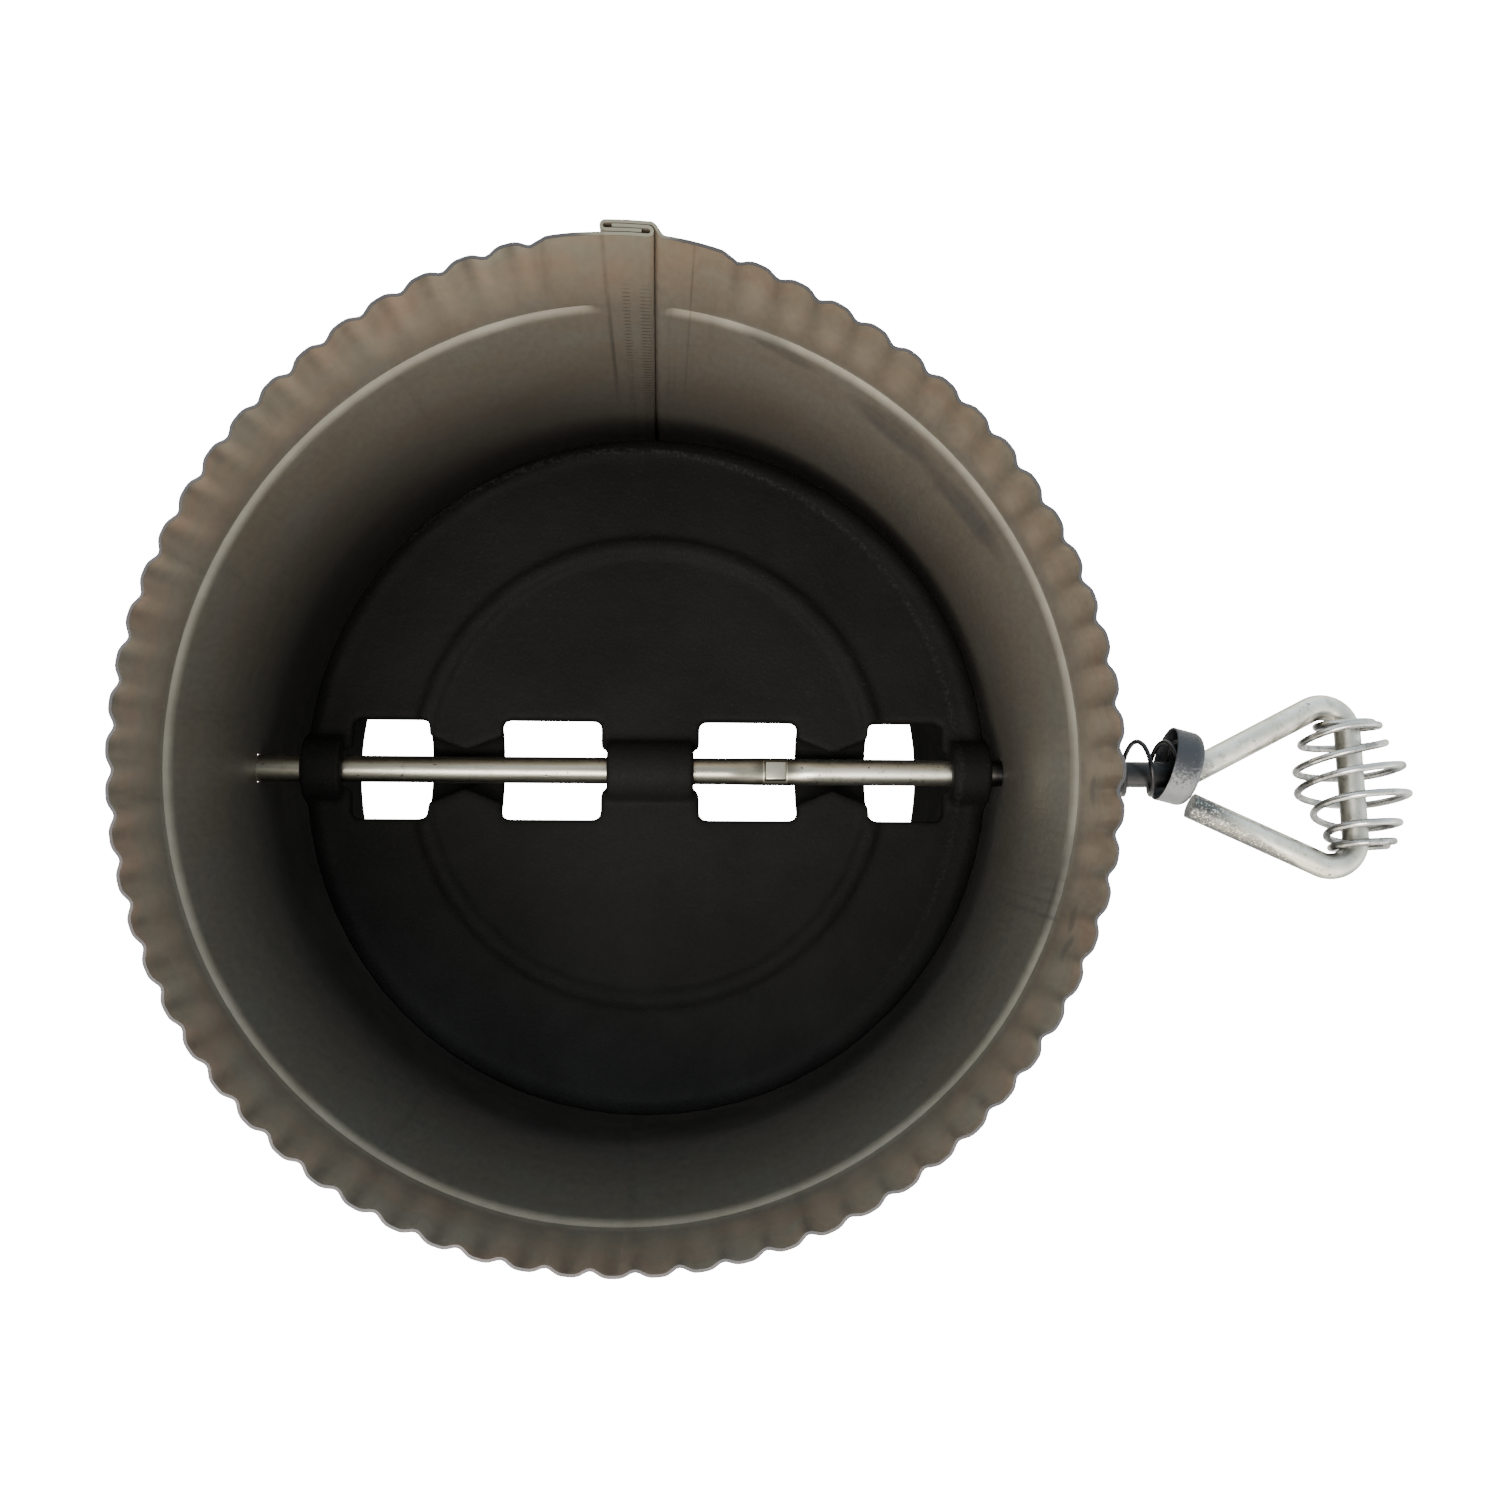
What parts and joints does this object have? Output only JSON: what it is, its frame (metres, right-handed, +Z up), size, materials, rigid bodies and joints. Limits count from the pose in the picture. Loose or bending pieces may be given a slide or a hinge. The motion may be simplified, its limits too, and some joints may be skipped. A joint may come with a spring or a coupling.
{
  "type": "stovepipe damper",
  "caption": "Section of round stovepipe with one crimped end, a cast damper plate inside on a turning rod, and a sprung triangular handle with a cool coil grip.",
  "frame": {"origin": "on the surface the pipe stands on, under the middle of the whole part's outline: the pipe's axis is 38.875 mm towards -X and 1.405 mm towards -Y of it", "axes": "+X along the rod towards the handle and coil grip, +Y towards the pipe's lock seam, +Z up the pipe to its crimped end"},
  "size_m": [0.2464, 0.158, 0.2032],
  "materials": {
    "sheet_steel": "rolled zinc-coated sheet, warm grey, satin, faint roller and crimp marks",
    "cast_iron": "bare sand casting, near black, matt",
    "rod_steel": "zinc-plated round bar, satin, scratched where it slides",
    "spring_wire": "oil-tempered black wire",
    "cup_steel": "drawn sheet, zinc-plated, grey",
    "coil_wire": "bright zinc-plated wire"
  },
  "bodies": {
    "pipe": {"pipe": "sheet_steel"},
    "plate": {"damper_plate": "cast_iron", "tension_spring": "spring_wire"},
    "handle": {"handle_rod": "rod_steel", "spring_cup": "cup_steel"},
    "grip": {"grip_coil": "coil_wire"}
  },
  "joints": [
    {"name": "damper_turn", "type": "hinge", "parent": "pipe", "child": "plate", "pos_m": [-0.03887, -0.0014, 0.1113], "axis": [1, 0, 0], "continuous": true},
    {"name": "handle_push", "type": "slide", "parent": "plate", "child": "handle", "axis": [-1, 0, 0], "range_m": [0, 0.012], "stiffness_N_per_m": 1200, "springref_m": -0.008, "deforming": ["tension_spring"]},
    {"name": "grip_spin", "type": "hinge", "parent": "handle", "child": "grip", "pos_m": [0.11127, -0.00355, 0.11145], "axis": [-0.0476, 0.9964, -0.0697], "continuous": true}
  ]
}
